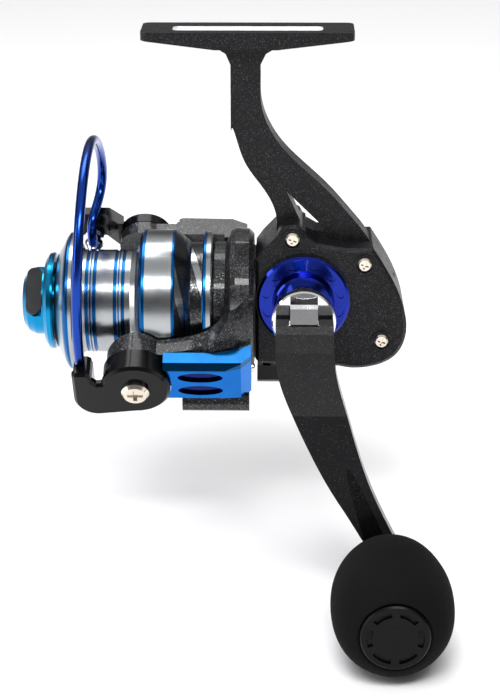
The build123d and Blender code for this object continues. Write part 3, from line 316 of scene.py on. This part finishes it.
def coverPaintedShade(finish, look):
    # towards and across are the dot products of the place with the arm's two directions
    centre = (0.0, 0.0, shaftHeight * mm)
    here = addNode(finish, "VectorMath", {0: place(finish), 1: centre}, operation="SUBTRACT").outputs[0]
    towards, across = (addNode(finish, "VectorMath", {0: here, 1: tuple(way)},
                               operation="DOT_PRODUCT").outputs["Value"] for way in (towardArm, acrossArm))
    # painted shade: the floors of the two lens-shaped hollows are tinted dark
    shadedHollow = every(finish, between(finish, towards, *look["hollowDepth"]),
                   between(finish, across, -look["hollowAcross"], look["hollowAcross"]),
                   between(finish, axes(finish)["X"], *look["hollowLength"]))
    # painted shade: the bevel towards the sky is tinted darker than the rest of the cover
    edge = calc(finish, "GREATER_THAN", across, look["edge"] * mm)
    colourWithShadedBevel = blendColour(finish, edge, fed(finish, "Base Color"), look["edgeTint"])
    feed(finish, "Base Color", blendColour(finish, shadedHollow, colourWithShadedBevel, look["hollowPaintedShade"]))


coverPaintedShade(azure, coverShadeZones)

# The spool: turned aluminium with dyed lines, and dark flake panels on the taper behind the skirt
spoolLook = {"dark": (0.32, 0.34, 0.35), "bright": (0.45, 0.46, 0.47), "Metallic": 1.0, "Roughness": 0.22,
             "smudge": 0.04, "cut": 0.16, "cutDepth": 0.004}
spoolDye = {"lines": ((-51.6, -49.9), (-45.7, -44.7), (-44.35, -43.95), (-43.5, -42.5), (-37.7, -36.7),
                      (-36.4, -36.0), (-35.5, -34.5), (-31.4, -28.6), (-21.2, -20.2), (-17.7, -17.3),
                      (-16.3, -15.95), (-12.7, -11.5)),
            "lineBlue": (0.008, 0.1, 0.3), "lineRadius": 14.0}
spoolPanels = {"between": (-20.2, -12.85), "radius": 16.5, "count": 4, "halfWide": 33.0, "centre": 40.0,
               "slant": 12.5, "slantFrom": -17.0, "black": (0.003, 0.003, 0.0035),
               "flake": (0.14, 0.14, 0.15), "flakeSize": 0.3, "flakeOver": 0.8}


def dyeLines(finish, look):
    # a dyed line is 1 where X lies between its two edges
    x = axes(finish)["X"]
    dyed = between(finish, x, *look["lines"][0])
    for edges in look["lines"][1:]:
        dyed = calc(finish, "MAXIMUM", dyed, between(finish, x, *edges))
    away = fromLine(finish, shaftPlace, "X")
    dyed = every(finish, dyed, calc(finish, "GREATER_THAN", away, look["lineRadius"] * mm))
    feed(finish, "Base Color", blendColour(finish, dyed, fed(finish, "Base Color"), look["lineBlue"]))


def paintPanels(finish, look):
    # a panel: the angle round the shaft plus a slant with X, folded to one panel's share of the turn
    x, y, z = axes(finish)
    above = calc(finish, "SUBTRACT", z, shaftHeight * mm)
    angle = calc(finish, "ARCTAN2", above, calc(finish, "MULTIPLY", y, -1.0))
    slant = math.radians(look["slant"]) / mm
    slid = calc(finish, "MULTIPLY", calc(finish, "SUBTRACT", x, look["slantFrom"] * mm), slant)
    share = 2 * math.pi / look["count"]
    wholeTurns = share * 20          # keeps the angle above zero
    turned = calc(finish, "ADD", calc(finish, "ADD", angle, slid), wholeTurns - math.radians(look["centre"]))
    folded = calc(finish, "PINGPONG", turned, share / 2)
    away = fromLine(finish, shaftPlace, "X")
    panel = every(finish, calc(finish, "LESS_THAN", folded, math.radians(look["halfWide"])),
                  between(finish, x, *look["between"]),
                  calc(finish, "GREATER_THAN", away, look["radius"] * mm))
    lot = addNode(finish, "SeparateColor", {"Color": cells(finish, look["flakeSize"])["Color"]}).outputs
    glint = calc(finish, "GREATER_THAN", lot["Red"], look["flakeOver"])
    paint = blendColour(finish, glint, look["black"], look["flake"])
    feed(finish, "Base Color", blendColour(finish, panel, fed(finish, "Base Color"), paint))
    dull = calc(finish, "MULTIPLY", panel, calc(finish, "SUBTRACT", 1.0, glint))
    feed(finish, "Metallic", calc(finish, "SUBTRACT", 1.0, dull))


spoolMetal = turnedMetal("spoolMetal", spoolLook)
dyeLines(spoolMetal, spoolDye)
paintPanels(spoolMetal, spoolPanels)

partsIn = {
    "body_housing side_cover port_cap": flakeBlack,
    "rotor": rotorBlack,
    "far_arm_cover": farArmShadedBlack,
    "handle_arm": armBlack,
    "arm_cover": azure,
    "bail_wire": royal,
    "bearing_cap_ring": ultramarine,
    "drag_knob": cyan,
    "spool": spoolMetal,
    "handle_collar hinge_block wire_cone line_roller": chrome,
    "crank_bearing_right crank_bearing_left clutch_outer_race clutch_rollers pinion_front_bearing "
    "slider_guide_rods drive_shaft crank_shim fold_pin clutch_inner_sleeve rotor_nut bail_spring "
    "bail_spring_guide trip_lever main_shaft drag_discs drag_retaining_ring drag_knob_spring knob_post": steel,
    "side_cover_screws retainer_screws arm_cover_screw pivot_screws line_roller_screw slider_screw "
    "knob_screw": nickel,
    "pinion_rear_bush oscillation_pinion pinion_gear drag_knob_nut": brass,
    "drive_gear oscillation_gear oscillation_slider": zinc,
    "clutch_retainer anti_reverse_lever bail_arm bail_holder spool_support click_pawl line_clip "
    "knob_bush": plastic,
    "knob_cap": capBlack,
    "drag_knob_pads knob_grip": rubber,
    "drag_felts": felt}
finishOf = {name: finish for names, finish in partsIn.items() for name in names.split()}
for name, part in nodes.items():
    part.data.materials.clear()
    part.data.materials.append(finishOf[name])
print("finishes given to", len(finishOf), "parts")


def addSurface(name, grid, finish, body, standsFor):
    # grid is rows x columns x 3 in millimetres; columns close round, and each quad joins four neighbours.
    # Both open ends close with a fan about their middle.
    rows, columns = grid.shape[:2]
    number = np.arange(rows * columns).reshape(rows, columns)
    beside = np.roll(number, -1, axis=1)
    quads = np.stack([number[:-1], beside[:-1], beside[1:], number[1:]], axis=-1).reshape(-1, 4)
    points = np.vstack([grid.reshape(-1, 3), grid[0].mean(axis=0), grid[-1].mean(axis=0)])
    firstPole, lastPole = rows * columns, rows * columns + 1
    firstFan = np.stack([np.full(columns, firstPole), beside[0], number[0]], axis=-1)
    lastFan = np.stack([np.full(columns, lastPole), number[-1], beside[-1]], axis=-1)
    mesh = bpy.data.meshes.new(name)
    mesh.from_pydata((points * mm).tolist(), [], quads.tolist() + firstFan.tolist() + lastFan.tolist())
    # the faces point outwards when the volume they enclose is positive
    a, b, c = (points[quads[:, corner]] for corner in (0, 1, 2))
    if np.einsum("ij,ij->i", a - points.mean(axis=0), np.cross(b - a, c - a)).sum() < 0:
        mesh.flip_normals()
    mesh.shade_smooth()
    mesh.materials.append(finish)
    piece = bpy.data.objects.new(name, mesh)
    bpy.context.scene.collection.objects.link(piece)
    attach(piece, body)
    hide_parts(standsFor)
    return piece


def smoothCurve(corners, steps):
    # uniform cubic B-spline through a list of corners, its ends held by doubling the first and last corner:
    # each span is the four nearest corners weighted by the cubic basis in t
    held = np.vstack([2 * corners[0] - corners[1], corners, 2 * corners[-1] - corners[-2]])
    t = np.linspace(0.0, 1.0, steps, endpoint=False)[:, None]
    weights = np.hstack([(1 - t) ** 3, 3 * t ** 3 - 6 * t ** 2 + 4,
                         -3 * t ** 3 + 3 * t ** 2 + 3 * t + 1, t ** 3])
    spans = np.stack([held[i:len(held) - 3 + i] for i in range(4)], axis=1)
    return np.vstack([np.einsum("sk,nkd->nsd", weights / 6, spans).reshape(-1, 3), corners[-1]])


# Knob: foam turned to an egg about the knob's axis, with a slight hand-cut unevenness
knobGrip = {"profile": ((56.0, 3.6), (56.0, 6.6), (56.6, 8.3), (58.6, 10.2), (62.0, 12.3), (67.0, 14.3),
                        (73.0, 15.6), (79.0, 16.0), (85.0, 15.8), (90.0, 14.6), (93.4, 12.7), (95.4, 10.6),
                        (96.0, 9.6), (95.4, 9.0), (94.6, 9.0), (94.6, 3.6)),
            "around": 128, "uneven": 0.07, "steps": 6}
foamLook = {"Roughness": 0.92, "Specular IOR Level": 0.1, "dark": (0.0015, 0.0015, 0.0016),
            "bright": (0.007, 0.007, 0.0075), "pore": 0.42, "speck": 0.3, "poreDepth": 0.12, "strength": 0.7}
foam = newFinish("foamBlack", foamLook)
speck = noise(foam, 1 / (foamLook["speck"] * mm), 3.0)
mottle = calc(foam, "MULTIPLY", calc(foam, "ADD", noise(foam, 70.0, 3.0), speck), 0.5)
feed(foam, "Base Color", blendColour(foam, mottle, foamLook["dark"], foamLook["bright"]))
pores = cells(foam, foamLook["pore"])["Distance"]
roughen(foam, calc(foam, "ADD", pores, calc(foam, "MULTIPLY", speck, 0.6)), foamLook["poreDepth"],
        foamLook["strength"])


def turnedGrid(look, centre):
    # point = axis place + radius * (cos v, sin v), radius swelling a little with two slow waves round it
    line = smoothCurve(np.array([(along, radius, 0.0) for along, radius in look["profile"]]), look["steps"])
    along, radius = line[:, 0][:, None], line[:, 1][:, None]
    v = np.linspace(0.0, 2 * np.pi, look["around"], endpoint=False)[None, :]
    waves = np.sin(3 * v + along / 6) + 0.6 * np.sin(5 * v - along / 4)
    radius = radius + look["uneven"] * (radius / 16) * waves
    return np.stack([centre[0] + radius * np.cos(v), -along + 0 * v, centre[1] + radius * np.sin(v)], axis=-1)


gripPiece = addSurface("knobFoam", turnedGrid(knobGrip, knobPlace), foam, "grip", "knob_grip")

# Bail wire: a round rod carried along one smooth curve from the bail arm to the roller's cone.
# Each corner is X, the distance towards the arm and the distance across it.
bailWire = {"corners": ((-45.9, 28.4, 5.2), (-45.9, 28.4, 10.0), (-45.8, 27.6, 17.5), (-45.4, 23.4, 28.8),
                        (-44.8, 13.6, 40.0), (-44.2, -2.0, 46.6), (-43.8, -19.6, 44.6), (-43.4, -32.6, 33.2),
                        (-43.2, -38.4, 18.6), (-43.6, -36.8, 11.0), (-44.6, -31.6, 8.6), (-45.8, -26.0, 8.0),
                        (-46.3, -22.8, 5.8), (-46.2, -22.2, 0.1)),
            "radius": 1.4, "around": 40, "steps": 14}


def rodGrid(path, radius, around):
    # point = path + radius * (cos v * side + sin v * up): side is X made square to the path, up their cross
    # product
    ahead = np.gradient(path, axis=0)
    ahead /= np.linalg.norm(ahead, axis=1, keepdims=True)
    side = np.array([1.0, 0.0, 0.0]) - ahead[:, :1] * ahead
    side /= np.linalg.norm(side, axis=1, keepdims=True)
    up = np.cross(ahead, side)
    v = np.linspace(0.0, 2 * np.pi, around, endpoint=False)[None, :, None]
    return path[:, None] + radius * (np.cos(v) * side[:, None] + np.sin(v) * up[:, None])


armAxes = np.array([(1.0, 0.0, 0.0), towardArm, acrossArm])
wirePath = smoothCurve(np.array(shaftPlace) + np.array(bailWire["corners"]) @ armAxes, bailWire["steps"])
addSurface("bailRod", rodGrid(wirePath, bailWire["radius"], bailWire["around"]), royal, "bail", "bail_wire")
print("new surfaces made")

# Studio: a pale floor, a wide soft light in front, two soft fills, soft daylight and a pale sky
studio = {"floorTone": (0.84, 0.84, 0.85), "floorHalf": 7.0,
          "sky": ((0.0, 0.34), (0.16, 0.18), (0.36, 0.1), (0.56, 0.3), (0.74, 0.7), (1.0, 0.6))}  # height, tone
floorMesh = bpy.data.meshes.new("floor")
floorCorners = [(x * studio["floorHalf"], y * studio["floorHalf"], cadBox[0][2])
                for x, y in ((-1, -1), (1, -1), (1, 1), (-1, 1))]
floorMesh.from_pydata(floorCorners, [], [(0, 1, 2, 3)])
floor = bpy.data.objects.new("floor", floorMesh)
bpy.context.scene.collection.objects.link(floor)
floor.data.materials.append(newFinish("paleFloor", {"Base Color": studio["floorTone"], "Roughness": 0.55}))

world = bpy.data.worlds.new("studioSky")
bpy.context.scene.world = world
world.use_nodes = True
backdrop = world.node_tree.nodes["Background"]
skyPlace = addNode(world, "TexCoord").outputs["Generated"]
height = addNode(world, "SeparateXYZ", {"Vector": skyPlace}).outputs["Z"]
climb = addNode(world, "ValToRGB", {"Fac": height})
stops = climb.color_ramp.elements
stops[0].color = (*[studio["sky"][0][1]] * 3, 1.0)
stops[1].color = (*[studio["sky"][-1][1]] * 3, 1.0)
for position, tone in studio["sky"][1:-1]:
    stops.new(position).color = (tone, tone, tone, 1.0)
world.node_tree.links.new(climb.outputs["Color"], backdrop.inputs["Color"])

lamps = {"keySoft": {"place": (0.12, -0.62, 0.62), "size": (0.5, 0.16), "watts": 5.0},
         "topSoft": {"place": (-0.1, 0.25, 0.75), "size": (0.6, 0.4), "watts": 4.0},
         "leftFill": {"place": (-0.75, -0.35, 0.15), "size": (0.25, 0.5), "watts": 1.6}}
lampsAim = Vector((0.0, 0.0, -0.08))
daylight = {"strength": 1.9, "spread": 0.5, "lean": (32.0, -14.0)}
sun = bpy.data.lights.new("daylight", "SUN")
sun.energy, sun.angle = daylight["strength"], daylight["spread"]
sunStand = bpy.data.objects.new("daylight", sun)
sunStand.rotation_euler = (*map(math.radians, daylight["lean"]), 0.0)
sunStand.visible_glossy = False
bpy.context.scene.collection.objects.link(sunStand)
for name, lamp in lamps.items():
    light = bpy.data.lights.new(name, "AREA")
    light.shape, light.size, light.size_y = "RECTANGLE", *lamp["size"]
    light.energy = lamp["watts"]
    stand = bpy.data.objects.new(name, light)
    stand.location = lamp["place"]
    stand.rotation_euler = (lampsAim - stand.location).to_track_quat("-Z", "Y").to_euler()
    bpy.context.scene.collection.objects.link(stand)

# Camera: slightly above the reel, looking at the handle side
eye = {"target": (0.41, 0.0, -93.18), "distance": 546.06, "elevation": 20.26, "azimuth": 1.13, "roll": -0.12,
       "lens": 97.4}
tilt, swing = math.radians(eye["elevation"]), math.radians(eye["azimuth"])
back = Vector((math.sin(swing) * math.cos(tilt), -math.cos(swing) * math.cos(tilt), math.sin(tilt)))
lens = bpy.data.cameras.new("camera")
lens.lens, lens.sensor_width, lens.clip_start, lens.clip_end = eye["lens"], 36.0, 0.01, 40.0
camera = bpy.data.objects.new("camera", lens)
camera.location = (Vector(eye["target"]) + back * eye["distance"]) * mm
turn = (-back).to_track_quat("-Z", "Y").to_matrix() @ Matrix.Rotation(math.radians(eye["roll"]), 3, "Z")
camera.rotation_euler = turn.to_euler()
bpy.context.scene.collection.objects.link(camera)
bpy.context.scene.camera = camera
bpy.context.scene.view_settings.view_transform = "Standard"
print("studio and camera set")
